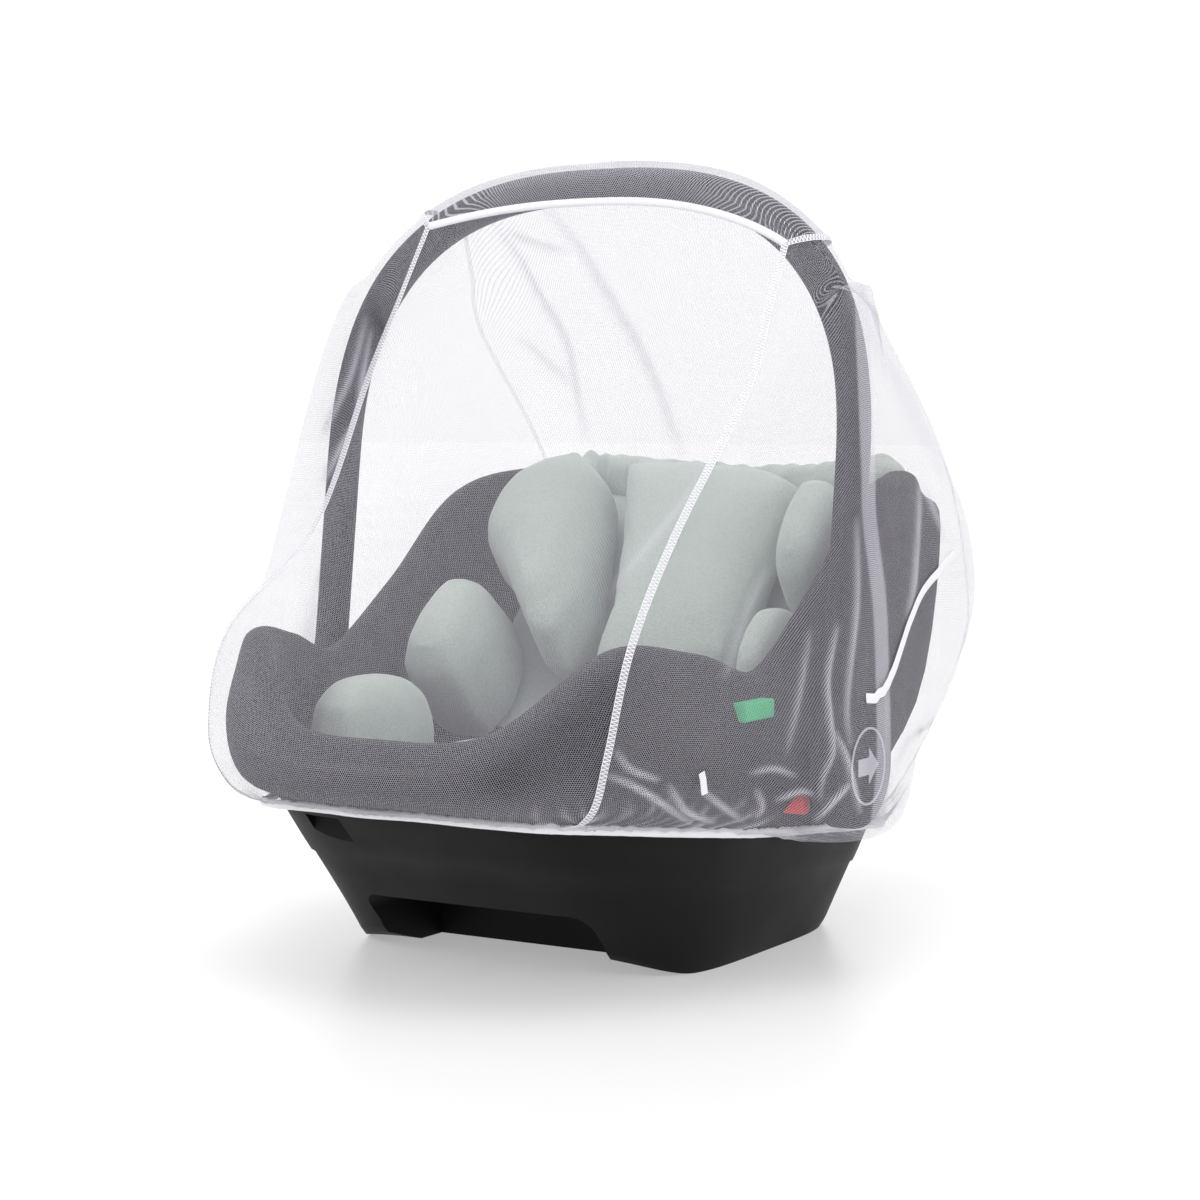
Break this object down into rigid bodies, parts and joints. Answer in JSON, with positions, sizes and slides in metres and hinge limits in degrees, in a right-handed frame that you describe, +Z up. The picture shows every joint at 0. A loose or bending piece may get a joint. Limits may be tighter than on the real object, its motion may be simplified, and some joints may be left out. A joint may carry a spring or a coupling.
{
  "type": "mosquito net on infant car seat",
  "caption": "Sheer white mosquito net with an elastic hem, stretched from the carrying handle over a plain infant car seat with mint pads.",
  "frame": {"origin": "on the floor, under the seat, at the middle of the base's flat underside", "axes": "+Z up, -Y towards the foot end, X across the seat with the handle's ends at both sides"},
  "size_m": [0.4804, 0.6184, 0.536],
  "materials": {
    "white_net": "fine knitted mesh",
    "white_binding": "woven",
    "dark_cloth": "woven",
    "mint_cloth": "knitted",
    "handle_plastic": "fine grain",
    "base_plastic": "satin",
    "green_plastic": "satin",
    "red_plastic": "satin"
  },
  "bodies": {
    "root": {"seat_base": "base_plastic", "seat_shell": "dark_cloth", "seat_handle": "handle_plastic", "seat_hub_right": "handle_plastic", "seat_hub_left": "handle_plastic", "pad_back": "mint_cloth", "pad_wing_right": "mint_cloth", "pad_wing_left": "mint_cloth", "pad_side_right": "mint_cloth", "pad_side_left": "mint_cloth", "pad_seat": "mint_cloth", "pad_thigh_right": "mint_cloth", "pad_thigh_left": "mint_cloth", "hood_folded": "mint_cloth", "belt_guide": "green_plastic", "release_button": "red_plastic", "net_front_panel": "white_net", "net_side_left": "white_net", "net_side_right": "white_net", "net_back_panel": "white_net", "net_binding": "white_binding", "net_back_tape": "white_binding", "net_tag": "white_binding"}
  },
  "joints": []
}
